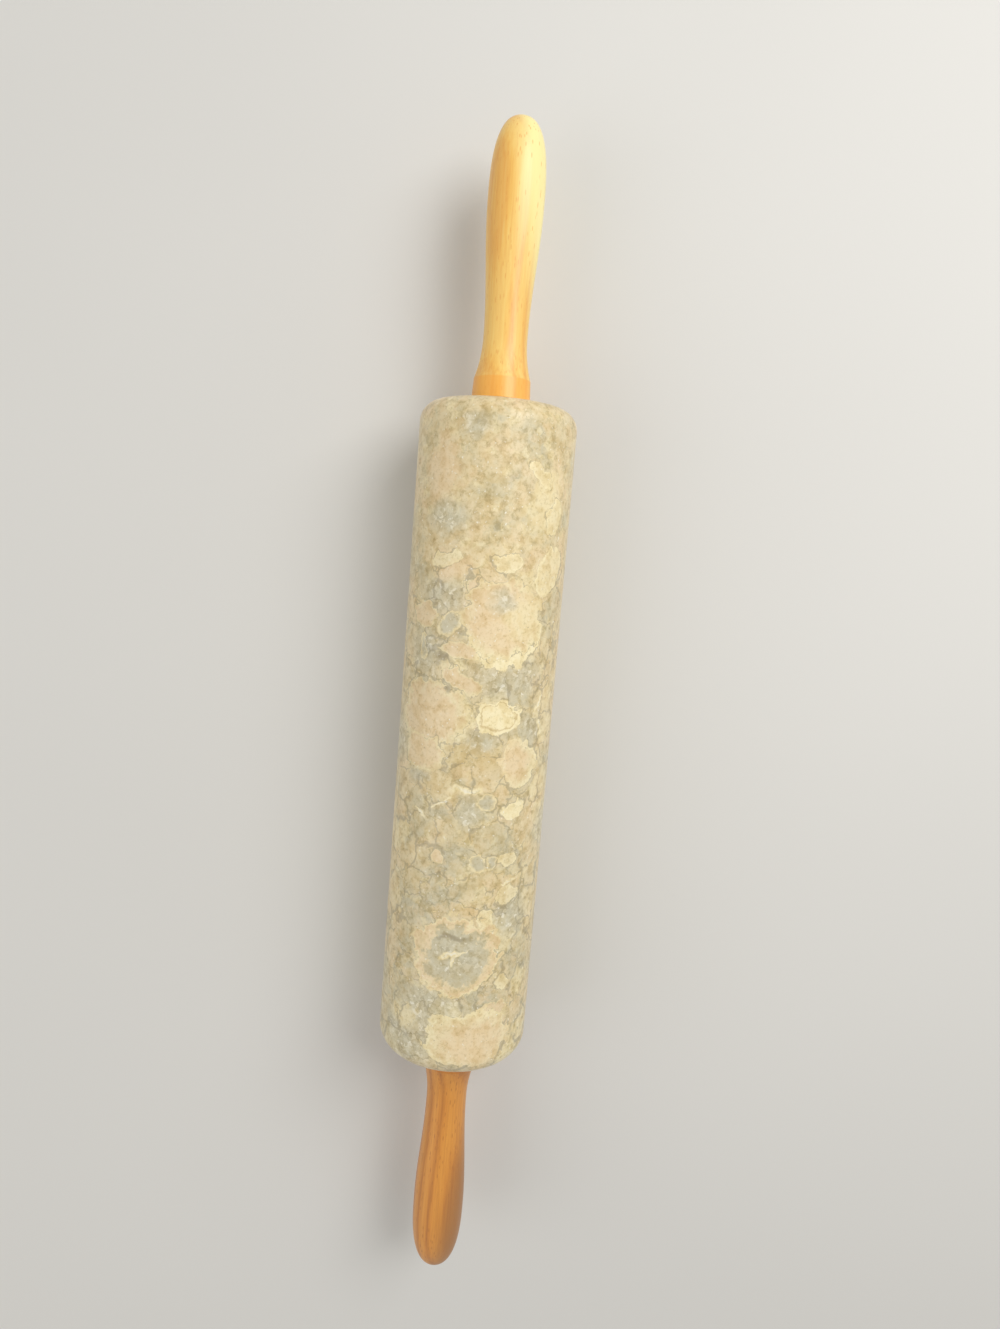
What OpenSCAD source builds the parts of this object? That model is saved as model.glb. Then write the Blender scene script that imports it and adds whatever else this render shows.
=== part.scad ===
// Marble rolling pin with turned wooden handles.
// The stone barrel turns on a steel axle rod that carries a handle at each end.
// The axle lies along X, the barrel rests on the plane z = 0 and the middle is at x = 0.
// Every piece of the right end is drawn once and mirrored for the left end.

/* [Barrel] */
// Diameter of the stone barrel
barrel_d = 59; // [50:0.5:80]
// Length of the stone barrel between its end faces
barrel_len = 254; // [180:1:350]
// Radius of the rounded rim at each end of the barrel
rim_r = 8; // [2:0.5:9]
// Diameter of the hole drilled through the stone
core_d = 18; // [17:0.5:20]

/* [Bushes] */
// Length of the bush sleeve inside the stone, below the flange
bush_len = 20; // [10:1:40]
// Diameter of the bush flange
flange_d = 26; // [24:0.5:28]
// Thickness of the bush flange, let in flush with the end of the stone
flange_t = 2; // [1:0.25:4]
// Chamfer that leads the sleeve into the stone
bush_lead = 1; // [0.25:0.25:1.5]
// Glue gap between a bush and the stone
glue_gap = 0.05; // [0.02:0.01:0.1]

/* [Axle] */
// Diameter of the axle rod inside the barrel
axle_d = 10; // [9:0.5:12]
// Running clearance between the rod and a bush, on the radius
run_gap = 0.08; // [0.03:0.01:0.1]
// Diameter of the threaded ends of the rod
thread_d = 8; // [6:0.5:8.5]
// Length of each threaded end
thread_len = 22; // [19:0.5:24]
// Depth of the relief groove beside each shoulder, on the radius
relief_deep = 0.5; // [0.2:0.1:0.8]
// Length of the relief groove
relief_len = 1.5; // [0.5:0.25:2.5]
// Chamfer at the tip of each threaded end
tip_chamfer = 1; // [0.25:0.25:1.5]

/* [Washers] */
// Diameter of the thrust washers
washer_d = 20; // [17:0.5:21]
// Thickness of the thrust washers
washer_t = 1; // [0.5:0.1:2]
// End float between a washer and the bush flange
end_float = 0.3; // [0.1:0.05:0.5]
// Clearance between a washer and the rod, on the radius
washer_gap = 0.1; // [0.05:0.01:0.3]

/* [Inserts] */
// Diameter over the barbs of the threaded insert
insert_d = 12; // [11:0.25:12.5]
// Length of the threaded insert, with its flange
insert_len = 15; // [12:0.5:18]
// Diameter of the insert flange
insert_flange_d = 15; // [14:0.25:16.5]
// Thickness of the insert flange
insert_flange_t = 1.5; // [1:0.25:2.5]
// Height of the barbs
barb_deep = 0.6; // [0.3:0.1:0.8]
// Number of barbs along the insert
barb_count = 6; // [3:1:9]
// Gap between the insert and the wood
insert_gap = 0.05; // [0.02:0.01:0.1]
// Gap between the thread of the rod and the insert, on the radius
thread_gap = 0.05; // [0.02:0.01:0.1]

/* [Handles] */
// Length of a handle from its base to its tip
handle_len = 100; // [80:1:140]
// Diameter at the base of the collar
collar_d = 22; // [21:0.5:26]
// Length of the collar, up to its crisp arris
collar_len = 8; // [4:0.5:12]
// Diameter at the arris, where the collar meets the flare
arris_d = 21.2; // [20:0.1:24]
// Diameter of the neck
neck_d = 16.4; // [15.5:0.1:19]
// Distance from the base to the neck
neck_at = 24; // [20:0.5:30]
// Largest diameter of the grip
belly_d = 20.8; // [19:0.1:26]
// Distance from the base to the largest diameter
belly_at = 71; // [50:0.5:75]
// Chamfer round the foot of the collar
foot_chamfer = 0.6; // [0.2:0.1:1.5]
// Diameter of the pilot hole that takes the end of the rod
pilot_d = 9; // [8.8:0.1:10]
// Depth of the pilot hole from the base
pilot_len = 25; // [24.5:0.5:34]

/* [Hidden] */
$fn = 96;

barrel_r = barrel_d / 2;
half_len = barrel_len / 2;
shoulder_at = half_len + end_float + washer_t;
bush_bore_r = axle_d / 2 + run_gap;
counterbore_deep = flange_t + glue_gap;

// Angle of the conical bottom that a twist drill leaves
drill_half_angle = 59;
pilot_cone = pilot_d / 2 / tan(drill_half_angle);

// How quickly the flare leaves the arris, and how square the rounded tip is
flare_power = 2.2;
dome_power = 2.7;
flare_steps = 12;
swell_steps = 24;
dome_steps = 22;

// A little extra length for cuts that break through a face
through = 1;

stone = "#cfc3a6";
beech = "#e3b672";
steel = "#b9bcc0";
nylon = "#ece6d6";
brass = "#c9a24a";

// Places a shape that stands on Z onto the axle line, its foot at x and its top towards +X
module on_axle(x) {
    translate([x, 0, barrel_r]) rotate([0, 90, 0]) children();
}

// Draws the right-hand piece again at the left end
module other_end() {
    mirror([1, 0, 0]) children();
}

// Half outline of the stone with round rims, before the hole is drilled
module stone_outline() {
    square([barrel_r - rim_r, barrel_len]);
    translate([0, rim_r]) square([barrel_r, barrel_len - 2 * rim_r]);
    for (y = [rim_r, barrel_len - rim_r]) translate([barrel_r - rim_r, y]) circle(rim_r);
}

// Half outline of what the drills take out of the stone
module stone_drilling() {
    translate([0, -through]) square([core_d / 2, barrel_len + 2 * through]);
    translate([0, -through]) square([flange_d / 2 + glue_gap, counterbore_deep + through]);
    translate([0, barrel_len - counterbore_deep]) square([flange_d / 2 + glue_gap, counterbore_deep + through]);
}

module marble_barrel() {
    color(stone) on_axle(-half_len) rotate_extrude() difference() {
        stone_outline();
        stone_drilling();
    }
}

// A rod with a shoulder, a relief groove and a chamfered thread at each end
module axle_rod() {
    color(steel) {
        on_axle(-shoulder_at) cylinder(d = axle_d, h = 2 * shoulder_at);
        rod_end();
        other_end() rod_end();
    }
}

module rod_end() {
    thread_r = thread_d / 2;
    on_axle(shoulder_at) rotate_extrude() polygon([
        [0, 0],
        [thread_r - relief_deep, 0],
        [thread_r - relief_deep, relief_len],
        [thread_r, relief_len + relief_deep],
        [thread_r, thread_len - tip_chamfer],
        [thread_r - tip_chamfer, thread_len],
        [0, thread_len]
    ]);
}

// A flanged sleeve whose flange is flush with the end of the stone
module bush() {
    sleeve_r = core_d / 2 - glue_gap;
    sleeve_foot = half_len - counterbore_deep - bush_len + glue_gap;
    color(nylon) on_axle(sleeve_foot) rotate_extrude() polygon([
        [bush_bore_r, 0],
        [sleeve_r - bush_lead, 0],
        [sleeve_r, bush_lead],
        [sleeve_r, bush_len],
        [flange_d / 2, bush_len],
        [flange_d / 2, bush_len + flange_t],
        [bush_bore_r, bush_len + flange_t]
    ]);
}

// A flat ring on the rod that keeps the handle off the stone
module washer() {
    color(nylon) on_axle(half_len + end_float) difference() {
        cylinder(d = washer_d, h = washer_t);
        translate([0, 0, -through]) cylinder(r = axle_d / 2 + washer_gap, h = washer_t + 2 * through);
    }
}

// A press-in insert: a flange, then barbs that rise away from the flange
module insert() {
    bore_r = thread_d / 2 + thread_gap;
    barb_r = insert_d / 2;
    root_r = barb_r - barb_deep;
    barb_pitch = (insert_len - insert_flange_t) / barb_count;
    barbs = [
        for (i = [0 : barb_count - 1], top = [0, 1])
            [top == 0 ? barb_r : root_r, insert_flange_t + (i + top) * barb_pitch]
    ];
    color(brass) on_axle(shoulder_at) rotate_extrude() polygon(concat(
        [[bore_r, 0], [insert_flange_d / 2, 0], [insert_flange_d / 2, insert_flange_t]],
        barbs,
        [[bore_r, insert_len]]
    ));
}

// Half outline of the handle: collar, concave flare, long swell and rounded tip
function handle_outline() = concat(
    [[0, 0], [collar_d / 2 - foot_chamfer, 0], [collar_d / 2, foot_chamfer]],
    [for (i = [0 : flare_steps]) flare_point(i / flare_steps)],
    [for (i = [1 : swell_steps]) swell_point(i / swell_steps)],
    [for (i = [1 : dome_steps]) dome_point(sin(90 * i / dome_steps))]
);
function flare_point(t) = [
    (neck_d + (arris_d - neck_d) * pow(1 - t, flare_power)) / 2,
    collar_len + (neck_at - collar_len) * t
];
function swell_point(t) = [
    (neck_d + (belly_d - neck_d) * (1 - cos(180 * t)) / 2) / 2,
    neck_at + (belly_at - neck_at) * t
];
function dome_point(t) = [
    t == 1 ? 0 : belly_d / 2 * pow(1 - pow(t, dome_power), 1 / dome_power),
    belly_at + (handle_len - belly_at) * t
];

// Half outline of the stepped blind hole: insert flange, insert, pilot hole and drill point
module handle_drilling() {
    polygon([
        [0, -through],
        [insert_flange_d / 2 + insert_gap, -through],
        [insert_flange_d / 2 + insert_gap, insert_flange_t + insert_gap],
        [insert_d / 2 + insert_gap, insert_flange_t + insert_gap],
        [insert_d / 2 + insert_gap, insert_len + insert_gap],
        [pilot_d / 2, insert_len + insert_gap],
        [pilot_d / 2, pilot_len],
        [0, pilot_len + pilot_cone]
    ]);
}

module handle() {
    color(beech) on_axle(shoulder_at) rotate_extrude() difference() {
        polygon(handle_outline());
        handle_drilling();
    }
}

module right_bush() { bush(); }
module left_bush() { other_end() bush(); }
module right_washer() { washer(); }
module left_washer() { other_end() washer(); }
module right_insert() { insert(); }
module left_insert() { other_end() insert(); }
module right_handle() { handle(); }
module left_handle() { other_end() handle(); }

marble_barrel();
axle_rod();
left_bush();
right_bush();
left_washer();
right_washer();
left_insert();
right_insert();
left_handle();
right_handle();
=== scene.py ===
import math

import bpy
from mathutils import Matrix, Vector


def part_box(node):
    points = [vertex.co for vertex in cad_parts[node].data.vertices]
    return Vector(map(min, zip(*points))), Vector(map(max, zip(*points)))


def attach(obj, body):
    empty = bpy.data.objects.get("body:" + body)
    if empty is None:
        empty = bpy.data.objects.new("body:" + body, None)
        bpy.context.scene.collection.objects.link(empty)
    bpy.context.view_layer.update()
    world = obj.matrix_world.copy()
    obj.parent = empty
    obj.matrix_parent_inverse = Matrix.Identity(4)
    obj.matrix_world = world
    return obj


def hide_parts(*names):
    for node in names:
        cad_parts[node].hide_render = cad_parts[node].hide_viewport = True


# A marble rolling pin with turned beech handles. Sizes are in millimetres until a mesh is made,
# and the axle lies along X. "Right" is the end towards +X, which is the upper one in the picture.

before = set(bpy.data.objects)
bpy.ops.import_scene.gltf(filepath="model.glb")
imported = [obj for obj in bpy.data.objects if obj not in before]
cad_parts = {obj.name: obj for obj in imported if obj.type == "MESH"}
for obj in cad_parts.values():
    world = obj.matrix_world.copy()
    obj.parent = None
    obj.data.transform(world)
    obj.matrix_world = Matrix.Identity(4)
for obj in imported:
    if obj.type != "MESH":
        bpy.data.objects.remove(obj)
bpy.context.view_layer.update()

MM = 0.001

# Sizes of the pieces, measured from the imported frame
barrel_low, barrel_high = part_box("marble_barrel")
BARREL_LEN = (barrel_high.x - barrel_low.x) / MM
BARREL_R = (barrel_high.z - barrel_low.z) / 2 / MM
AXLE_HEIGHT = (barrel_high.z + barrel_low.z) / 2 / MM
HANDLE_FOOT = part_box("right_handle")[0].x / MM
HANDLE_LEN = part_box("right_handle")[1].x / MM - HANDLE_FOOT

# Barrel: round rims, drilled core and the recess of the bush flange
RIM_R = 8
CORE_R = 9
RECESS_R = 13.05
RECESS_DEEP = 2.05

# Handle: collar, flare, neck, belly and rounded tip
COLLAR_R = 11
COLLAR_LEN = 8
ARRIS_R = 10.6
NECK_R = 8.2
NECK_AT = 24
BELLY_R = 10.4
BELLY_AT = 71
FOOT_CHAMFER = 0.6
FLARE_POWER = 2.2
DOME_POWER = 2.7

# Handle: stepped blind hole for the insert and the end of the rod
INSERT_FLANGE_R = 7.55
INSERT_FLANGE_DEEP = 1.55
INSERT_R = 6.05
INSERT_DEEP = 15.05
PILOT_R = 4.5
PILOT_DEEP = 25
DRILL_POINT = 2.7


def linear(hex_colour):
    """A written sRGB colour such as "c8b090", as the linear colour that a shader takes."""
    channels = [int(hex_colour[i:i + 2], 16) / 255 for i in (0, 2, 4)]
    return [c / 12.92 if c <= 0.04045 else ((c + 0.055) / 1.055) ** 2.4 for c in channels] + [1]


def add(tree, kind, settings=None, inputs=None, stops=None):
    """Adds a node, gives it its settings and the stops of its ramp, and sets or links its inputs."""
    node = tree.nodes.new(kind)
    for name, value in (settings or {}).items():
        setattr(node, name, value)
    for name, value in (inputs or {}).items():
        if isinstance(value, bpy.types.NodeSocket):
            tree.links.new(value, node.inputs[name])
        else:
            node.inputs[name].default_value = value
    if stops:
        ramp = node.color_ramp.elements
        while len(ramp) < len(stops):
            ramp.new(1)
        for element, (position, colour, cover) in zip(ramp, stops):
            element.position = position
            element.color = linear(colour)[:3] + [cover]
    return node


# Sockets of a colour Mix node, whose names are shared with its number and vector sockets
SHARE, UNDER, OVER, MIXED = 0, 6, 7, 2


def new_material(name):
    """A material, its tree and its Principled shader."""
    material = bpy.data.materials.new(name)
    material.use_nodes = True
    return material, material.node_tree, material.node_tree.nodes["Principled BSDF"]


def place_in_mm(tree):
    """The place on the piece in millimetres, with the axle as the X axis."""
    return add(tree, "ShaderNodeMapping", {}, {
        "Vector": add(tree, "ShaderNodeTexCoord").outputs["Object"],
        "Location": (0, 0, -AXLE_HEIGHT),
        "Scale": (1 / MM, 1 / MM, 1 / MM),
    }).outputs["Vector"]


def folded(tree, place, width, push):
    """The place pushed about by a few millimetres, in folds that are width millimetres wide."""
    noise = add(tree, "ShaderNodeTexNoise", {}, {"Vector": place, "Scale": 1 / width, "Detail": 2})
    centred = add(tree, "ShaderNodeVectorMath", {"operation": "SUBTRACT"}, {
        0: noise.outputs["Color"],
        1: (0.5, 0.5, 0.5),
    })
    return add(tree, "ShaderNodeVectorMath", {"operation": "MULTIPLY_ADD"}, {
        0: centred.outputs["Vector"],
        1: (push, push, push),
        2: place,
    }).outputs["Vector"]


# The stone

STONE = {
    "grey": "cdc5a9",
    "beige": "dfd1ab",
    "warm": "e8d6ae",
    "crystal": "cac3a8",
    "peach": "ecd5ae",
    "cream": "f2e3b8",
    "bright": "f9ecc2",
    "buff": "dac594",
    "seam": "a0957a",
    "olive": "b4aa88",
    "white": "f6f1e0",
}

# How each kind of fossil looks from its middle to its edge: distance, colour and cover.
# The distance is halved, so that the edge is at 0.5 and the ramp reaches beyond it.
LOOKS = {
    "milk": [(0, "cream", 0.85), (0.3, "cream", 0.75), (0.54, "cream", 0)],
    "blush": [(0, "peach", 0.9), (0.3, "peach", 0.8), (0.56, "peach", 0)],
    "buff": [(0, "buff", 0.75), (0.3, "buff", 0.6), (0.58, "buff", 0)],
    "grey": [(0, "crystal", 0.85), (0.3, "crystal", 0.7), (0.6, "grey", 0)],
    "dark": [(0, "seam", 0.9), (0.3, "seam", 0.7), (0.56, "olive", 0)],
    "gleam": [(0, "white", 0.95), (0.3, "bright", 0.9), (0.54, "cream", 0)],
    "cream": [(0, "cream", 0.7), (0.34, "cream", 0.8), (0.46, "bright", 0.85), (0.53, "cream", 0)],
    "peach": [(0, "peach", 0.85), (0.36, "peach", 0.8), (0.46, "cream", 0.75), (0.53, "cream", 0)],
    "bright": [(0, "bright", 0.95), (0.48, "bright", 0.95), (0.52, "cream", 0)],
    "pale": [(0, "crystal", 0.8), (0.28, "grey", 0.9), (0.42, "cream", 0.85), (0.52, "cream", 0)],
    "pebble": [
        (0, "bright", 1), (0.33, "bright", 1), (0.37, "buff", 0.9), (0.41, "bright", 1),
        (0.48, "bright", 1), (0.52, "cream", 0),
    ],
    "rind": [
        (0, "grey", 0.8), (0.34, "grey", 0.85), (0.38, "warm", 0.95), (0.44, "peach", 0.95),
        (0.48, "cream", 0.95), (0.52, "cream", 0),
    ],
}
# These melt into what they lie on, and no seam runs round them
SEAMLESS = ("milk", "blush", "buff", "grey", "dark", "gleam")

# The large fossils, laid from the bottom layer up: look, place along the axle, angle round it
# from the top, half length along, half length round, and turn in degrees
FOSSILS = [
    ("grey", 116, -15, 4, 5, 0),
    ("blush", 100, -38, 12, 8, 0),
    ("grey", 84, -30, 6, 9, 10),
    ("milk", 92, 42, 14, 9, -20),
    ("cream", 101, 34, 2.6, 5.5, -30),
    ("cream", 87, 50, 7, 4.5, -10),
    ("cream", 68, 50, 9.5, 6, -28),
    ("grey", 56, -32, 8, 9, 0),
    ("grey", 36, -44, 10, 8, 0),
    ("grey", 28, 22, 8, 15, 0),
    ("grey", 6, 6, 5, 8, 20),
    ("grey", 8, 44, 7, 6, 0),
    ("grey", -22, -1, 7, 4, 0),
    ("grey", -98, -18, 9, 12, 0),
    ("grey", -62, 40, 10, 8, 0),
    ("buff", 0, -8, 6, 7, 0),
    ("buff", -2, 16, 5, 8, 0),
    ("buff", -13, -27, 4, 5, 0),
    ("peach", 13, -36, 13, 16, 10),
    ("peach", -2, -39, 7, 11, 0),
    ("cream", 69.6, 16, 2.6, 5.6, 0),
    ("blush", 65, -24, 4, 8, 10),
    ("cream", 69, -30, 3, 6.5, 12),
    ("peach", 61, -6, 3, 4.4, 0),
    ("peach", 49, -47, 4, 6.5, 0),
    ("pale", 46, -23, 4.4, 4.4, 0),
    ("bright", 45.6, 17, 14, 14.5, 0),
    ("peach", 50, 14, 14.5, 16, 0),
    ("blush", 50, -3, 8, 6, 0),
    ("milk", 50, 30, 9, 8, 10),
    ("grey", 56, 13, 5, 5, 0),
    ("pale", 38, -46, 6, 2.4, 0),
    ("peach", 37, -16, 3, 8.4, 0),
    ("dark", 33, -27, 2, 4, 0),
    ("peach", 27, -15, 3.8, 9.6, -26),
    ("dark", 23, -23, 1.3, 1.6, 0),
    ("pebble", 14, 16, 6.4, 8.6, 12),
    ("gleam", 20, 49, 5, 1.2, -28),
    ("gleam", 10, 52, 5, 1.2, 30),
    ("cream", -3, 37, 9, 8.5, 0),
    ("blush", -3, 33, 8, 7, 0),
    ("gleam", -13, -2, 1.6, 7, 14),
    ("gleam", -18.5, -20, 0.9, 5.5, 24),
    ("gleam", -24.5, -36, 1, 4.5, -20),
    ("grey", -11, -43, 3, 5, 0),
    ("pale", -18, 13, 4, 4, 0),
    ("bright", -21, 34.5, 3.4, 4.8, 20),
    ("peach", -39, -20, 3, 3.4, 0),
    ("pale", -40.6, 9, 4.2, 4.1, 0),
    ("pale", -40, 20, 3.8, 2.6, 0),
    ("cream", -40, 33, 3, 4, 0),
    ("gleam", -49, 35, 0.8, 4.6, 12),
    ("cream", -54, 35, 3.6, 4.6, 0),
    ("cream", -62, 19, 5.9, 3.2, 0),
    ("rind", -77.4, -0.6, 16, 17.6, 0),
    ("grey", -77, 0, 9.5, 11, 0),
    ("dark", -70, -4, 1.6, 7, 8),
    ("gleam", -76, -3, 1, 6.5, 25),
    ("gleam", -78, -1, 3.4, 0.9, -12),
    ("cream", -89, 36, 3, 3, 0),
    ("peach", -99, 29, 3, 9, 10),
    # Partly painted shade: this grey fossil at the left end is the stone's grey and also darkens the stone
    # where shade falls
    ("grey", -113, -34, 13, 15, 0),
    ("milk", -105.6, -40, 5, 8, 0),
    ("cream", -110, 13, 12, 19, 5),
    ("blush", -112, 17, 11, 16, 5),
    ("cream", 40, 120, 14, 15, 0),
    ("rind", -10, 165, 12, 13, 0),
    ("grey", -10, 166, 7, 8, 0),
    ("peach", -60, 110, 11, 14, 10),
    ("cream", 20, -120, 13, 12, 0),
    ("pebble", 60, -160, 7, 8, 0),
    ("peach", -50, -130, 14, 12, -10),
    ("rind", -95, -150, 11, 12, 0),
    ("cream", -100, 140, 12, 10, 0),
    ("grey", 0, -80, 12, 12, 0),
    ("grey", -30, 80, 10, 12, 0),
]
FOSSIL_DEEP = 13


def fossil_kind(look):
    """A group of nodes that lays one look of fossil, a bent ellipsoid in the stone, over the ground."""
    tree = bpy.data.node_groups.new("fossil_" + look, "ShaderNodeTree")
    for name, kind in (
        ("Ground", "NodeSocketColor"),
        ("Crystals", "NodeSocketColor"),
        ("Seam distance", "NodeSocketFloat"),
        ("Tears", "NodeSocketFloat"),
        ("Width", "NodeSocketFloat"),
        ("Place", "NodeSocketVector"),
        ("Middle", "NodeSocketVector"),
        ("Facing", "NodeSocketVector"),
        ("Size", "NodeSocketVector"),
    ):
        tree.interface.new_socket(name, in_out="INPUT", socket_type=kind)
    tree.interface.new_socket("Ground", in_out="OUTPUT", socket_type="NodeSocketColor")
    tree.interface.new_socket("Seam distance", in_out="OUTPUT", socket_type="NodeSocketFloat")
    given = add(tree, "NodeGroupInput").outputs
    # Vector sockets only: a change of socket type would keep all the fossils on the renderer's
    # stack at once
    shifted = add(tree, "ShaderNodeVectorMath", {"operation": "SUBTRACT"}, {
        0: given["Place"],
        1: given["Middle"],
    })
    turned = add(tree, "ShaderNodeVectorRotate", {"rotation_type": "EULER_XYZ", "invert": True}, {
        "Vector": shifted.outputs["Vector"],
        "Rotation": given["Facing"],
    })
    shrunk = add(tree, "ShaderNodeVectorMath", {"operation": "DIVIDE"}, {
        0: turned.outputs["Vector"],
        1: given["Size"],
    })
    reach = add(tree, "ShaderNodeVectorMath", {"operation": "LENGTH"}, {0: shrunk.outputs["Vector"]})
    torn = add(tree, "ShaderNodeMath", {"operation": "ADD"}, {0: reach.outputs["Value"], 1: given["Tears"]})
    ramp = add(tree, "ShaderNodeValToRGB", {}, {"Fac": torn.outputs["Value"]}, [
        (distance, STONE[colour], cover) for distance, colour, cover in LOOKS[look]
    ])
    laid = add(tree, "ShaderNodeMix", {"data_type": "RGBA"}, {
        SHARE: ramp.outputs["Alpha"],
        UNDER: given["Ground"],
        OVER: given["Crystals"] if look == "grey" else ramp.outputs["Color"],
    })
    seam_gap = given["Seam distance"]
    if look not in SEAMLESS:
        # Its own edge is a seam, and it hides the seams that it lies on
        off_edge = add(tree, "ShaderNodeMath", {"operation": "SUBTRACT"}, {0: 0.5, 1: torn.outputs["Value"]})
        inside = add(tree, "ShaderNodeMath", {"operation": "MULTIPLY"}, {
            0: off_edge.outputs["Value"],
            1: given["Width"],
        })
        hidden = add(tree, "ShaderNodeMath", {"operation": "MAXIMUM"}, {
            0: inside.outputs["Value"],
            1: seam_gap,
        })
        edge = add(tree, "ShaderNodeMath", {"operation": "ABSOLUTE"}, {0: inside.outputs["Value"]})
        seam_gap = add(tree, "ShaderNodeMath", {"operation": "MINIMUM"}, {
            0: hidden.outputs["Value"],
            1: edge.outputs["Value"],
        }).outputs["Value"]
    add(tree, "NodeGroupOutput", {}, {
        "Ground": laid.outputs[MIXED],
        "Seam distance": seam_gap,
    })
    return tree


def lay_fossil(tree, kinds, ground, seam_gap, place, tears, crystals, fossil):
    """Lays one fossil, and gives the new colour and seam distance."""
    look, along, angle, half_along, half_round, turn = fossil
    lean = math.radians(angle)
    facing = Matrix.Rotation(lean, 3, "X") @ Matrix.Rotation(math.radians(turn), 3, "Z")
    laid = add(tree, "ShaderNodeGroup", {"node_tree": kinds[look]}, {
        "Ground": ground,
        "Crystals": crystals,
        "Seam distance": seam_gap,
        "Tears": tears,
        "Width": half_along + half_round,
        "Place": place,
        "Middle": (along, -BARREL_R * math.sin(lean), BARREL_R * math.cos(lean)),
        "Facing": tuple(facing.to_euler("XYZ")),
        "Size": (2 * half_along, 2 * half_round, 2 * FOSSIL_DEEP),
    })
    return laid.outputs["Ground"], laid.outputs["Seam distance"]


def lay_shells(tree, ground, place, width, where):
    """Lays packed shells about width millimetres wide, and gives the colour and the seam distance.

    Where there are no shells, the seams are out of reach.
    """
    cells = add(tree, "ShaderNodeTexVoronoi", {}, {"Vector": place, "Scale": 1 / width})
    edges = add(tree, "ShaderNodeTexVoronoi", {"feature": "DISTANCE_TO_EDGE"}, {
        "Vector": place,
        "Scale": 1 / width,
    })
    pick = add(tree, "ShaderNodeSeparateColor", {}, {"Color": cells.outputs["Color"]})
    tone = add(tree, "ShaderNodeValToRGB", {}, {"Fac": pick.outputs["Red"]}, [
        (0.05, STONE["crystal"], 0.5),
        (0.20, STONE["grey"], 0),
        (0.40, STONE["warm"], 0.5),
        (0.60, STONE["peach"], 0.7),
        (0.80, STONE["cream"], 0.8),
        (0.95, STONE["bright"], 0.8),
    ])
    inside = add(tree, "ShaderNodeMapRange", {"interpolation_type": "SMOOTHSTEP"}, {
        "Value": edges.outputs["Distance"],
        "From Min": 0.02,
        "From Max": 0.14,
    })
    kept = add(tree, "ShaderNodeMath", {"operation": "MULTIPLY"}, {0: inside.outputs["Result"], 1: where})
    cover = add(tree, "ShaderNodeMath", {"operation": "MULTIPLY"}, {
        0: kept.outputs["Value"],
        1: tone.outputs["Alpha"],
    })
    colour = add(tree, "ShaderNodeMix", {"data_type": "RGBA"}, {
        SHARE: cover.outputs["Value"],
        UNDER: ground,
        OVER: tone.outputs["Color"],
    })
    out_of_reach = add(tree, "ShaderNodeMapRange", {}, {
        "Value": where,
        "From Min": 0.8,
        "From Max": 0,
        "To Max": 3,
    })
    seam_gap = add(tree, "ShaderNodeMath", {"operation": "MULTIPLY_ADD"}, {
        0: edges.outputs["Distance"],
        1: width,
        2: out_of_reach.outputs["Result"],
    })
    return colour.outputs[MIXED], seam_gap.outputs["Value"]


def lay_specks(tree, ground, place, rarity, colour, cover):
    """Scatters specks half a unit across; rarity near 1 leaves only a few."""
    cells = add(tree, "ShaderNodeTexVoronoi", {}, {"Vector": place, "Scale": 1})
    pick = add(tree, "ShaderNodeSeparateColor", {}, {"Color": cells.outputs["Color"]})
    chosen = add(tree, "ShaderNodeMath", {"operation": "GREATER_THAN"}, {
        0: pick.outputs["Green"],
        1: rarity,
    })
    core = add(tree, "ShaderNodeMapRange", {"interpolation_type": "SMOOTHSTEP"}, {
        "Value": cells.outputs["Distance"],
        "From Min": 0.5,
        "From Max": 0.2,
        "To Max": cover,
    })
    share = add(tree, "ShaderNodeMath", {"operation": "MULTIPLY"}, {
        0: chosen.outputs["Value"],
        1: core.outputs["Result"],
    })
    return add(tree, "ShaderNodeMix", {"data_type": "RGBA"}, {
        SHARE: share.outputs["Value"],
        UNDER: ground,
        OVER: linear(colour),
    }).outputs[MIXED]


def darkened(tree, ground, noise, stops):
    """Multiplies the colour of the ground by a ramp of a noise."""
    shade = add(tree, "ShaderNodeValToRGB", {}, {"Fac": noise.outputs["Fac"]}, stops)
    return add(tree, "ShaderNodeMix", {"data_type": "RGBA", "blend_type": "MULTIPLY"}, {
        SHARE: 1,
        UNDER: ground,
        OVER: shade.outputs["Color"],
    }).outputs[MIXED]


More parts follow.
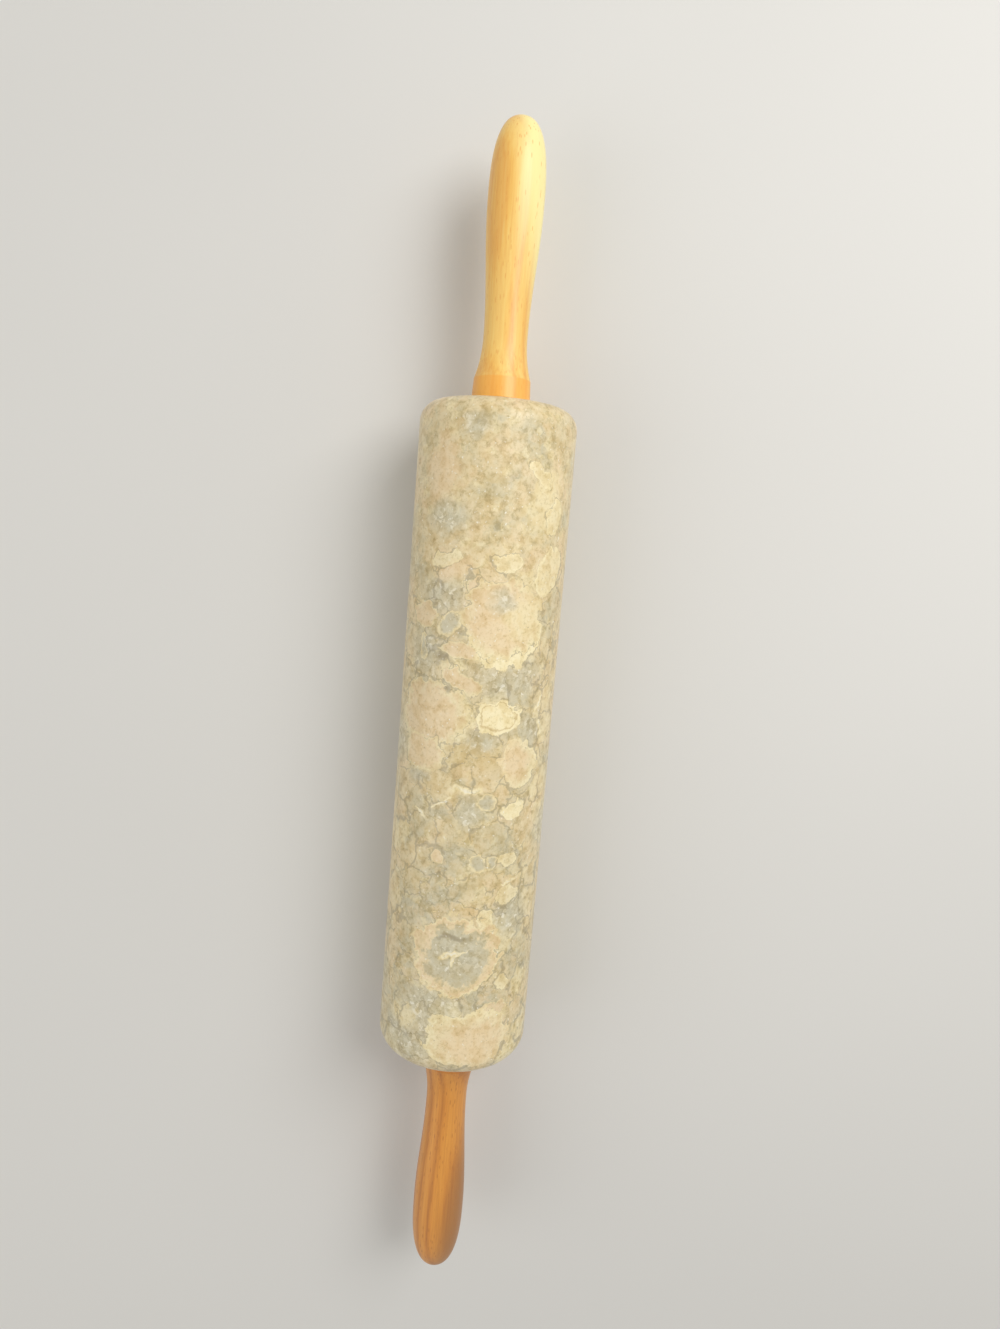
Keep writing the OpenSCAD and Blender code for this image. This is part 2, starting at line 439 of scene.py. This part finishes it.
def fossil_marble():
    """Fossil marble, ground and honed: cream shells and pebbles in grey beige, with a soft gloss."""
    material, tree, shader = new_material("fossil_marble_honed")
    place = place_in_mm(tree)
    ripples = folded(tree, place, 2.4, 2.6)
    folds = folded(tree, ripples, 8, 8)
    swirl = folded(tree, ripples, 22, 26)

    # The bed is warmer towards the right end and greyer towards the left: partly the stone's own tone, partly
    # painted light where the lamp falls on the right end
    bed = add(tree, "ShaderNodeTexNoise", {}, {
        "Vector": swirl,
        "Scale": 1 / 15,
        "Detail": 5,
        "Roughness": 0.6,
    })
    along = add(tree, "ShaderNodeSeparateXYZ", {}, {"Vector": folds})
    warmth_and_painted_light = add(tree, "ShaderNodeMapRange", {}, {
        "Value": along.outputs["X"],
        "From Min": -125,
        "From Max": 125,
        "To Min": -0.06,
        "To Max": 0.07,
    })
    bed_tone = add(tree, "ShaderNodeMath", {"operation": "ADD"}, {
        0: bed.outputs["Fac"],
        1: warmth_and_painted_light.outputs["Result"],
    })
    ground = add(tree, "ShaderNodeValToRGB", {}, {"Fac": bed_tone.outputs["Value"]}, [
        (0.36, STONE["grey"], 1),
        (0.48, STONE["beige"], 1),
        (0.60, STONE["warm"], 1),
        (0.72, STONE["peach"], 1),
    ]).outputs["Color"]

    # The larger shells stop short of the right end, where the stone is fine grained
    shelly = add(tree, "ShaderNodeMapRange", {"interpolation_type": "SMOOTHSTEP"}, {
        "Value": along.outputs["X"],
        "From Min": 78,
        "From Max": 66,
        "To Max": 0.8,
    }).outputs["Result"]
    ground = lay_shells(tree, ground, ripples, 3.6, 0.5)[0]
    ground, seam_gap = lay_shells(tree, ground, folds, 11, shelly)
    mottle = add(tree, "ShaderNodeTexNoise", {}, {
        "Vector": ripples,
        "Scale": 1 / 3.5,
        "Detail": 5,
        "Roughness": 0.65,
    })
    mottles = [(0.34, "dcd7c6", 1), (0.47, "faf8f2", 1), (0.6, "ffffff", 1)]
    ground = darkened(tree, ground, mottle, mottles)

    grain = add(tree, "ShaderNodeTexNoise", {}, {
        "Vector": place,
        "Scale": 1 / 1.3,
        "Detail": 4,
        "Roughness": 0.7,
    })
    # The outlines of the fossils are worn into waves, and torn a little where the bed is mottled.
    # As the tears wait for the bed, the fossils are worked out one after the other.
    worn = add(tree, "ShaderNodeTexNoise", {}, {"Vector": ripples, "Scale": 1 / 4, "Detail": 2})
    bed_light = add(tree, "ShaderNodeSeparateColor", {}, {"Color": ground})
    torn_by_bed = add(tree, "ShaderNodeMapRange", {}, {
        "Value": bed_light.outputs["Blue"],
        "From Min": 0.3,
        "From Max": 0.5,
        "To Min": -0.19,
        "To Max": -0.17,
    })
    tears = add(tree, "ShaderNodeMath", {"operation": "MULTIPLY_ADD"}, {
        0: worn.outputs["Fac"],
        1: 0.36,
        2: torn_by_bed.outputs["Result"],
    }).outputs["Value"]
    cells = add(tree, "ShaderNodeTexVoronoi", {}, {"Vector": ripples, "Scale": 1 / 1.5})
    cell_pick = add(tree, "ShaderNodeSeparateColor", {}, {"Color": cells.outputs["Color"]})
    crystals = add(tree, "ShaderNodeValToRGB", {}, {"Fac": cell_pick.outputs["Red"]}, [
        (0.0, "b9b196", 1),
        (0.3, STONE["crystal"], 1),
        (0.8, "d5ceb5", 1),
        (1.0, "efebda", 1),
    ]).outputs["Color"]
    kinds = {look: fossil_kind(look) for look in LOOKS}
    for fossil in FOSSILS:
        ground, seam_gap = lay_fossil(tree, kinds, ground, seam_gap, folds, tears, crystals, fossil)

    # Seams of clay round the fossils, which come and go
    breaks = add(tree, "ShaderNodeTexNoise", {}, {"Vector": ripples, "Scale": 1 / 7, "Detail": 2})
    seam_width = add(tree, "ShaderNodeMapRange", {}, {
        "Value": breaks.outputs["Fac"],
        "From Min": 0.44,
        "From Max": 0.66,
        "To Min": 0.05,
        "To Max": 0.9,
    })
    depth = add(tree, "ShaderNodeMath", {"operation": "DIVIDE"}, {
        0: seam_gap,
        1: seam_width.outputs["Result"],
    })
    seam = add(tree, "ShaderNodeMapRange", {"interpolation_type": "SMOOTHSTEP"}, {
        "Value": depth.outputs["Value"],
        "From Min": 1,
        "From Max": 0.2,
        "To Max": 0.55,
    })
    ground = add(tree, "ShaderNodeMix", {"data_type": "RGBA"}, {
        SHARE: seam.outputs["Result"],
        UNDER: ground,
        OVER: linear(STONE["seam"]),
    }).outputs[MIXED]

    # Soft clouds and grains of calcite all through the stone, with dark and white flecks
    clouds = [(0.32, "f0e9d9", 1), (0.46, "fcf9f2", 1), (0.56, "ffffff", 1)]
    ground = darkened(tree, ground, worn, clouds)
    grains = [(0.34, "e9e6da", 1), (0.48, "fdfcf9", 1), (0.6, "ffffff", 1)]
    ground = darkened(tree, ground, grain, grains)
    flecks = add(tree, "ShaderNodeTexNoise", {}, {"Vector": place, "Scale": 1 / 1.1, "Detail": 2})
    fleck_tone = add(tree, "ShaderNodeValToRGB", {}, {"Fac": flecks.outputs["Fac"]}, [
        (0.22, "857d62", 0.6),
        (0.29, "857d62", 0),
        (0.67, STONE["white"], 0),
        (0.74, STONE["white"], 0.7),
    ])
    ground = add(tree, "ShaderNodeMix", {"data_type": "RGBA"}, {
        SHARE: fleck_tone.outputs["Alpha"],
        UNDER: ground,
        OVER: fleck_tone.outputs["Color"],
    }).outputs[MIXED]

    gloss = add(tree, "ShaderNodeMapRange", {}, {
        "Value": grain.outputs["Fac"],
        "From Min": 0.3,
        "From Max": 0.7,
        "To Min": 0.45,
        "To Max": 0.33,
    })
    relief = add(tree, "ShaderNodeBump", {}, {
        "Height": grain.outputs["Fac"],
        "Distance": 0.06 * MM,
        "Strength": 0.5,
    })
    tree.links.new(ground, shader.inputs["Base Color"])
    tree.links.new(gloss.outputs["Result"], shader.inputs["Roughness"])
    tree.links.new(relief.outputs["Normal"], shader.inputs["Normal"])
    shader.inputs["IOR"].default_value = 1.5
    shader.inputs["Sheen Weight"].default_value = 0.25
    shader.inputs["Sheen Roughness"].default_value = 0.35
    return material


# The wood

# The year rings of this beech are 5 mm apart; a wave texture of scale 1 has a ring every pi / 10 units
RING_SPACING = 5
RING_SCALE = math.pi / 10 / RING_SPACING
# The painted light and shade on the handles runs at a slant of 0.16 mm across for each millimetre along the
# handle
PAINTED_LIGHTING_SLANT = 0.16


def turned_beech(name, tones, heart, side):
    """Beech, turned and lacquered: straight grain along the handle, short dark rays and a warm gloss."""
    # The collar tone is painted shade, and the last tone is painted light and shade towards the tip
    pale, honey, dark, collar, painted_lighting_tone = tones
    material, tree, shader = new_material(name)
    place = place_in_mm(tree)
    # Year rings round the heart of the tree, which lies outside the handle
    from_heart = add(tree, "ShaderNodeMapping", {}, {
        "Vector": place,
        "Location": heart,
        "Rotation": (0, math.radians(1.2), math.radians(1.6)),
        "Scale": (0.12, 1, 1),
    })
    rings = add(tree, "ShaderNodeTexWave", {"wave_type": "RINGS", "rings_direction": "X"}, {
        "Vector": from_heart.outputs["Vector"],
        "Scale": RING_SCALE,
        "Distortion": 3,
        "Detail": 3,
        "Detail Scale": 0.35,
    })
    ring_tone = add(tree, "ShaderNodeValToRGB", {}, {"Fac": rings.outputs["Fac"]}, [
        (0, pale, 1),
        (0.7, honey, 1),
        (1, dark, 1),
    ])
    # Fibres, drawn out along the handle
    drawn_out = add(tree, "ShaderNodeMapping", {}, {
        "Vector": place,
        "Scale": (1 / 30, 1 / 0.8, 1 / 0.8),
    })
    fibres = add(tree, "ShaderNodeTexNoise", {}, {
        "Vector": drawn_out.outputs["Vector"],
        "Scale": 1,
        "Detail": 4,
        "Roughness": 0.65,
    })
    fibre_tone = add(tree, "ShaderNodeValToRGB", {}, {"Fac": fibres.outputs["Fac"]}, [
        (0.25, dark, 1),
        (0.5, honey, 1),
        (0.75, pale, 1),
    ])
    wood = add(tree, "ShaderNodeMix", {"data_type": "RGBA"}, {
        SHARE: 0.55,
        UNDER: ring_tone.outputs["Color"],
        OVER: fibre_tone.outputs["Color"],
    }).outputs[MIXED]
    # Painted light and shade on the −Y side, towards the tip: a corner at the belly, and nearly all of the
    # tip; a painted highlight on the light handle and painted shade on the warm one
    where = add(tree, "ShaderNodeSeparateXYZ", {}, {"Vector": place})
    from_foot = add(tree, "ShaderNodeMath", {"operation": "MULTIPLY_ADD"}, {
        0: where.outputs["X"],
        1: side,
        2: -HANDLE_FOOT,
    })
    slant = add(tree, "ShaderNodeMath", {"operation": "MULTIPLY_ADD"}, {
        0: from_foot.outputs["Value"],
        1: -PAINTED_LIGHTING_SLANT,
        2: where.outputs["Y"],
    })
    in_painted_lighting = add(tree, "ShaderNodeMapRange", {"interpolation_type": "SMOOTHSTEP"}, {
        "Value": slant.outputs["Value"],
        "From Min": -10,
        "From Max": -20,
        "To Max": 0.85,
    })
    wood = add(tree, "ShaderNodeMix", {"data_type": "RGBA"}, {
        SHARE: in_painted_lighting.outputs["Result"],
        UNDER: wood,
        OVER: linear(painted_lighting_tone),
    }).outputs[MIXED]
    # Rays: short dashes, a few millimetres long and a quarter of a millimetre wide
    dashes = add(tree, "ShaderNodeMapping", {}, {
        "Vector": place,
        "Scale": (1 / 3, 1 / 0.6, 1 / 0.6),
    })
    wood = lay_specks(tree, wood, dashes.outputs["Vector"], 0.82, dark, 0.6)
    # Painted shade: the collar is given a deeper colour up to the arris
    painted_collar_shade = add(tree, "ShaderNodeMapRange", {}, {
        "Value": from_foot.outputs["Value"],
        "From Min": COLLAR_LEN + 0.25,
        "From Max": COLLAR_LEN - 0.25,
        "To Max": 0.6,
    })
    wood = add(tree, "ShaderNodeMix", {"data_type": "RGBA"}, {
        SHARE: painted_collar_shade.outputs["Result"],
        UNDER: wood,
        OVER: linear(collar),
    }).outputs[MIXED]
    relief = add(tree, "ShaderNodeBump", {}, {
        "Height": fibres.outputs["Fac"],
        "Distance": 0.04 * MM,
        "Strength": 0.4,
    })
    tree.links.new(wood, shader.inputs["Base Color"])
    tree.links.new(relief.outputs["Normal"], shader.inputs["Normal"])
    shader.inputs["Roughness"].default_value = 0.42
    shader.inputs["IOR"].default_value = 1.5
    shader.inputs["Coat Weight"].default_value = 0.3
    shader.inputs["Coat Roughness"].default_value = 0.25
    return material


# The hidden and half-hidden hardware

def worked_surface(name, pale, dark, along, round_it, roughness, metallic, push):
    """A worked bar or moulding: marks along it or round it, in two tones of one colour."""
    material, tree, shader = new_material(name)
    marks = add(tree, "ShaderNodeMapping", {}, {
        "Vector": place_in_mm(tree),
        "Scale": (1 / along, 1 / round_it, 1 / round_it),
    })
    noise = add(tree, "ShaderNodeTexNoise", {}, {
        "Vector": marks.outputs["Vector"],
        "Scale": 1,
        "Detail": 4,
    })
    tone = add(tree, "ShaderNodeValToRGB", {}, {"Fac": noise.outputs["Fac"]}, [
        (0.35, dark, 1),
        (0.65, pale, 1),
    ])
    gloss = add(tree, "ShaderNodeMapRange", {}, {
        "Value": noise.outputs["Fac"],
        "From Min": 0.3,
        "From Max": 0.7,
        "To Min": roughness + 0.08,
        "To Max": roughness - 0.08,
    })
    relief = add(tree, "ShaderNodeBump", {}, {
        "Height": noise.outputs["Fac"],
        "Distance": push * MM,
        "Strength": 0.5,
    })
    tree.links.new(tone.outputs["Color"], shader.inputs["Base Color"])
    tree.links.new(gloss.outputs["Result"], shader.inputs["Roughness"])
    tree.links.new(relief.outputs["Normal"], shader.inputs["Normal"])
    shader.inputs["Metallic"].default_value = metallic
    return material


# Turning: one tree of nodes turns any outline about the axle

def lathe():
    """Geometry Nodes that turn an outline, drawn as X along and Y out, about the axle.

    The outside of the outline runs towards +X, so that its faces look outward.
    """
    tree = bpy.data.node_groups.new("lathe", "GeometryNodeTree")
    for name, kind in (
        ("Outline", "NodeSocketGeometry"),
        ("Segments", "NodeSocketInt"),
        ("Axle height", "NodeSocketFloat"),
        ("Crease angle", "NodeSocketFloat"),
        ("Finish", "NodeSocketMaterial"),
    ):
        tree.interface.new_socket(name, in_out="INPUT", socket_type=kind)
    tree.interface.new_socket("Turned", in_out="OUTPUT", socket_type="NodeSocketGeometry")
    given = add(tree, "NodeGroupInput").outputs
    points = add(tree, "GeometryNodeAttributeDomainSize", {}, {"Geometry": given["Outline"]})
    seats = add(tree, "FunctionNodeIntegerMath", {"operation": "ADD"}, {0: given["Segments"], 1: 1})
    grid = add(tree, "GeometryNodeMeshGrid", {}, {
        "Vertices X": points.outputs["Point Count"],
        "Vertices Y": seats.outputs["Value"],
    })
    index = add(tree, "GeometryNodeInputIndex")
    which = add(tree, "FunctionNodeIntegerMath", {"operation": "DIVIDE_FLOOR"}, {
        0: index.outputs["Index"],
        1: seats.outputs["Value"],
    })
    seat = add(tree, "FunctionNodeIntegerMath", {"operation": "MODULO"}, {
        0: index.outputs["Index"],
        1: seats.outputs["Value"],
    })
    drawn = add(tree, "GeometryNodeSampleIndex", {"data_type": "FLOAT_VECTOR"}, {
        "Geometry": given["Outline"],
        "Value": add(tree, "GeometryNodeInputPosition").outputs["Position"],
        "Index": which.outputs["Value"],
    })
    point = add(tree, "ShaderNodeSeparateXYZ", {}, {"Vector": drawn.outputs["Value"]})
    share = add(tree, "ShaderNodeMath", {"operation": "DIVIDE"}, {
        0: seat.outputs["Value"],
        1: given["Segments"],
    })
    angle = add(tree, "ShaderNodeMath", {"operation": "MULTIPLY"}, {
        0: share.outputs["Value"],
        1: 2 * math.pi,
    })
    sine = add(tree, "ShaderNodeMath", {"operation": "SINE"}, {0: angle.outputs["Value"]})
    cosine = add(tree, "ShaderNodeMath", {"operation": "COSINE"}, {0: angle.outputs["Value"]})
    across = add(tree, "ShaderNodeMath", {"operation": "MULTIPLY"}, {
        0: point.outputs["Y"],
        1: sine.outputs["Value"],
    })
    up = add(tree, "ShaderNodeMath", {"operation": "MULTIPLY_ADD"}, {
        0: point.outputs["Y"],
        1: cosine.outputs["Value"],
        2: given["Axle height"],
    })
    turned = add(tree, "ShaderNodeCombineXYZ", {}, {
        "X": point.outputs["X"],
        "Y": across.outputs["Value"],
        "Z": up.outputs["Value"],
    })
    bent = add(tree, "GeometryNodeSetPosition", {}, {
        "Geometry": grid.outputs["Mesh"],
        "Position": turned.outputs["Vector"],
    })
    closed = add(tree, "GeometryNodeMergeByDistance", {}, {
        "Geometry": bent.outputs["Geometry"],
        "Distance": 0.001 * MM,
    })
    fold = add(tree, "GeometryNodeInputMeshEdgeAngle")
    creased = add(tree, "ShaderNodeMath", {"operation": "GREATER_THAN"}, {
        0: fold.outputs["Unsigned Angle"],
        1: given["Crease angle"],
    })
    smooth = add(tree, "GeometryNodeSetShadeSmooth", {"domain": "EDGE"}, {
        "Geometry": closed.outputs["Geometry"],
        "Selection": creased.outputs["Value"],
        "Shade Smooth": False,
    })
    real = add(tree, "GeometryNodeRealizeInstances", {}, {"Geometry": smooth.outputs["Geometry"]})
    finished = add(tree, "GeometryNodeSetMaterial", {}, {
        "Geometry": real.outputs["Geometry"],
        "Material": given["Finish"],
    })
    add(tree, "NodeGroupOutput", {}, {"Turned": finished.outputs["Geometry"]})
    return tree


def turn_piece(name, tree, outline, segments, crease, material):
    """A closed mesh turned from an outline of (along, out) points in millimetres."""
    mesh = bpy.data.meshes.new(name + "_outline")
    mesh.from_pydata([(x * MM, r * MM, 0) for x, r in outline], [], [])
    blank = bpy.data.objects.new(name + "_outline", mesh)
    bpy.context.scene.collection.objects.link(blank)
    modifier = blank.modifiers.new("lathe", "NODES")
    modifier.node_group = tree
    values = {
        "Segments": segments,
        "Axle height": AXLE_HEIGHT * MM,
        "Crease angle": math.radians(crease),
        "Finish": material,
    }
    for item in tree.interface.items_tree:
        if item.name in values:
            modifier[item.identifier] = values[item.name]
    depsgraph = bpy.context.evaluated_depsgraph_get()
    turned = bpy.data.meshes.new_from_object(blank.evaluated_get(depsgraph))
    bpy.data.objects.remove(blank)
    turned.name = name
    piece = bpy.data.objects.new(name, turned)
    bpy.context.scene.collection.objects.link(piece)
    return piece


def arc(along, out, radius, start, end, steps):
    """Points on a round, from one angle to another in degrees."""
    angles = [math.radians(start + (end - start) * i / steps) for i in range(steps + 1)]
    return [(along + radius * math.cos(a), out + radius * math.sin(a)) for a in angles]


def barrel_outline():
    """The stone: a straight barrel with round rims, drilled and recessed for the bushes."""
    half = BARREL_LEN / 2
    rings = 64
    straight = half - RIM_R
    body = [(-straight + 2 * straight * i / rings, BARREL_R) for i in range(1, rings)]
    hole = [
        (half, RECESS_R), (half - RECESS_DEEP, RECESS_R), (half - RECESS_DEEP, CORE_R),
        (-half + RECESS_DEEP, CORE_R), (-half + RECESS_DEEP, RECESS_R), (-half, RECESS_R),
    ]
    left_rim = arc(-straight, BARREL_R - RIM_R, RIM_R, 180, 90, 20)
    right_rim = arc(straight, BARREL_R - RIM_R, RIM_R, 90, 0, 20)
    return left_rim + body + right_rim + hole + [left_rim[0]]


def handle_outline():
    """The right handle: collar, concave flare, long swell, rounded tip and the stepped hole."""
    flare_steps, swell_steps, dome_steps = 36, 70, 48
    flare = [
        (COLLAR_LEN + (NECK_AT - COLLAR_LEN) * t, NECK_R + (ARRIS_R - NECK_R) * (1 - t) ** FLARE_POWER)
        for t in (i / flare_steps for i in range(flare_steps + 1))
    ]
    swell = [
        (NECK_AT + (BELLY_AT - NECK_AT) * t, NECK_R + (BELLY_R - NECK_R) * (1 - math.cos(math.pi * t)) / 2)
        for t in (i / swell_steps for i in range(1, swell_steps + 1))
    ]
    dome = [
        (BELLY_AT + (HANDLE_LEN - BELLY_AT) * t, BELLY_R * (1 - t ** DOME_POWER) ** (1 / DOME_POWER))
        for t in (math.sin(math.pi / 2 * i / dome_steps) for i in range(1, dome_steps))
    ]
    hole = [
        (PILOT_DEEP + DRILL_POINT, 0), (PILOT_DEEP, PILOT_R), (INSERT_DEEP, PILOT_R), (INSERT_DEEP, INSERT_R),
        (INSERT_FLANGE_DEEP, INSERT_R), (INSERT_FLANGE_DEEP, INSERT_FLANGE_R), (0, INSERT_FLANGE_R),
    ]
    foot = [(0, COLLAR_R - FOOT_CHAMFER), (FOOT_CHAMFER, COLLAR_R)]
    outline = hole + foot + flare + swell + dome + [(HANDLE_LEN, 0)]
    return [(HANDLE_FOOT + x, r) for x, r in outline]


LATHE = lathe()
marble = fossil_marble()
# Tones of each handle: pale, honey and dark wood, then painted shade for the collar, then painted light and
# shade towards the tip (a pale highlight on the light handle, dark shade on the warm one)
LIGHT_TONES = ("f9d67e", "f4bf5e", "e4a048", "f8ac40", "fdf2aa")
WARM_TONES = ("e29c40", "d38a34", "ac6826", "c87a2c", "a06c34")
light_beech = turned_beech("beech_lacquered_light", LIGHT_TONES, (0, 34, 40), 1)
warm_beech = turned_beech("beech_lacquered_warm", WARM_TONES, (0, -38, 36), -1)
steel = worked_surface("steel_drawn_bar", "b4b6b9", "96989c", 40, 0.5, 0.3, 1, 0.01)
brass = worked_surface("brass_machined", "d9b566", "b8913f", 0.4, 6, 0.3, 1, 0.01)
nylon = worked_surface("nylon_turned", "efe9d9", "e2dac4", 0.4, 5, 0.5, 0, 0.02)

barrel = turn_piece("stone_barrel", LATHE, barrel_outline(), 288, 20, marble)
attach(barrel, "barrel")
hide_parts("marble_barrel")

right_outline = handle_outline()
left_outline = [(-x, r) for x, r in reversed(right_outline)]
for side, outline, finish in (("right", right_outline, light_beech), ("left", left_outline, warm_beech)):
    handle = turn_piece(side + "_grip", LATHE, outline, 160, 10, finish)
    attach(handle, "handles")
    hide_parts(side + "_handle")

for name, material in (("axle_rod", steel), ("bush", nylon), ("washer", nylon), ("insert", brass)):
    for node_name in (name, "left_" + name, "right_" + name):
        if node_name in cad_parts:
            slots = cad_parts[node_name].data.materials
            slots.clear()
            slots.append(material)


# The floor, the light and the camera

def studio_floor():
    """A plain pale floor of painted board."""
    half = 4
    mesh = bpy.data.meshes.new("studio_floor")
    corners = [(-half, -half, 0), (half, -half, 0), (half, half, 0), (-half, half, 0)]
    mesh.from_pydata(corners, [], [(0, 1, 2, 3)])
    material, tree, shader = new_material("painted_board_matt")
    board = add(tree, "ShaderNodeTexNoise", {}, {
        "Vector": add(tree, "ShaderNodeTexCoord").outputs["Object"],
        "Scale": 3,
    })
    tone = add(tree, "ShaderNodeValToRGB", {}, {"Fac": board.outputs["Fac"]}, [
        (0, "d6d4cf", 1),
        (1, "dedcd7", 1),
    ])
    tree.links.new(tone.outputs["Color"], shader.inputs["Base Color"])
    shader.inputs["Roughness"].default_value = 0.8
    mesh.materials.append(material)
    floor = bpy.data.objects.new("studio_floor", mesh)
    bpy.context.scene.collection.objects.link(floor)


def soft_lamp(name, place, size, power):
    """A square soft box aimed at the middle of the barrel."""
    lamp = bpy.data.lights.new(name, "AREA")
    lamp.size = size
    lamp.energy = power
    light = bpy.data.objects.new(name, lamp)
    bpy.context.scene.collection.objects.link(light)
    light.location = place
    aim = Vector((0, 0, AXLE_HEIGHT * MM)) - Vector(place)
    light.rotation_euler = aim.to_track_quat("-Z", "Y").to_euler()


def pale_room(strength):
    """Even light from all round; the camera and the gloss see a pale room."""
    world = bpy.data.worlds.new("pale_room")
    world.use_nodes = True
    tree = world.node_tree
    tree.nodes.clear()
    rays = add(tree, "ShaderNodeLightPath").outputs
    seen = add(tree, "ShaderNodeMath", {"operation": "MAXIMUM"}, {
        0: rays["Is Camera Ray"],
        1: rays["Is Glossy Ray"],
    })
    seen_through = add(tree, "ShaderNodeMath", {"operation": "MAXIMUM"}, {
        0: seen.outputs["Value"],
        1: rays["Is Transmission Ray"],
    })
    light = add(tree, "ShaderNodeBackground", {}, {
        "Color": linear("f6f5f2"),
        "Strength": strength,
    })
    view = add(tree, "ShaderNodeBackground", {}, {
        "Color": linear("e2e0dc"),
        "Strength": 1,
    })
    both = add(tree, "ShaderNodeMixShader", {}, {
        0: seen_through.outputs["Value"],
        1: light.outputs["Background"],
        2: view.outputs["Background"],
    })
    add(tree, "ShaderNodeOutputWorld", {}, {"Surface": both.outputs["Shader"]})
    bpy.context.scene.world = world


# The camera looks straight down on the pin, with the right handle up. The place of the middle of
# the barrel and the direction of the axle are given in the camera's own axes: right, up and back.
PICTURE_HIGH = 1329
FOCAL_PIXELS = 894
SENSOR = 36
MIDDLE_SEEN = Vector((-10.1, -28.6, -352))
AXLE_SEEN = Vector((0.081, 1, 0.134)).normalized()


def picture_camera():
    """The camera at the photograph's place, worked out from where it sees the barrel."""
    towards = -MIDDLE_SEEN
    up_seen = (towards - AXLE_SEEN * towards.dot(AXLE_SEEN)).normalized()
    across_seen = up_seen.cross(AXLE_SEEN)
    turn = Matrix((AXLE_SEEN, across_seen, up_seen))
    middle = Vector((0, 0, AXLE_HEIGHT))
    camera_data = bpy.data.cameras.new("camera")
    camera_data.sensor_width = SENSOR
    camera_data.lens = FOCAL_PIXELS / PICTURE_HIGH * SENSOR
    camera = bpy.data.objects.new("camera", camera_data)
    camera.matrix_world = Matrix.Translation((middle - turn @ MIDDLE_SEEN) * MM) @ turn.to_4x4()
    bpy.context.scene.collection.objects.link(camera)
    bpy.context.scene.camera = camera


studio_floor()
soft_lamp("key_lamp", (0.5, -0.48, 0.75), 0.6, 6.2)
soft_lamp("fill_lamp", (-0.2, 0.8, 0.7), 0.8, 2.4)
pale_room(0.5)
picture_camera()
bpy.context.scene.view_settings.view_transform = "Standard"
